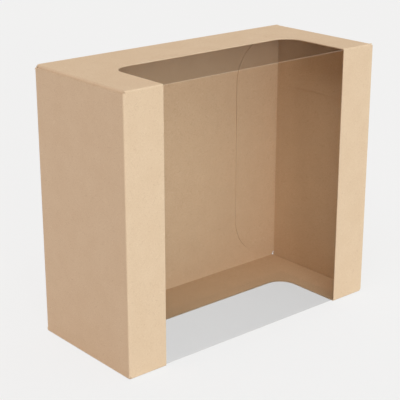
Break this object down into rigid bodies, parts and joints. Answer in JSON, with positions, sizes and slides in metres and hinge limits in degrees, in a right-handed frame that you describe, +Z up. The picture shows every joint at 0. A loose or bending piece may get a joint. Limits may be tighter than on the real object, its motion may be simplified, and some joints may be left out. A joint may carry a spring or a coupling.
{
  "type": "window carton",
  "caption": "Kraft board folding carton with a clear window wrapped over its top, front and bottom, and a hinged tuck-in panel at each end.",
  "frame": {"origin": "centre of the carton's footprint, on the surface it stands on", "axes": "+Z up, +X along the long side from the left end to the right end, -Y out of the window's front"},
  "size_m": [0.2, 0.088, 0.173],
  "materials": {
    "kraft_board": "uncoated kraft",
    "clear_film": "clear glossy film"
  },
  "bodies": {
    "carton": {"carton_body": "kraft_board", "window_film": "clear_film"},
    "left_end": {"left_end_panel": "kraft_board", "left_tuck_flap": "kraft_board"},
    "right_end": {"right_end_panel": "kraft_board", "right_tuck_flap": "kraft_board"}
  },
  "joints": [
    {"name": "left_end_hinge", "type": "hinge", "parent": "carton", "child": "left_end", "pos_m": [-0.1, -0.043, 0.0865], "axis": [0, 0, 1], "range_deg": [0, 120], "deforming": ["left_tuck_flap"]},
    {"name": "right_end_hinge", "type": "hinge", "parent": "carton", "child": "right_end", "pos_m": [0.1, -0.043, 0.0865], "axis": [0, 0, -1], "range_deg": [0, 120], "deforming": ["right_tuck_flap"]}
  ]
}
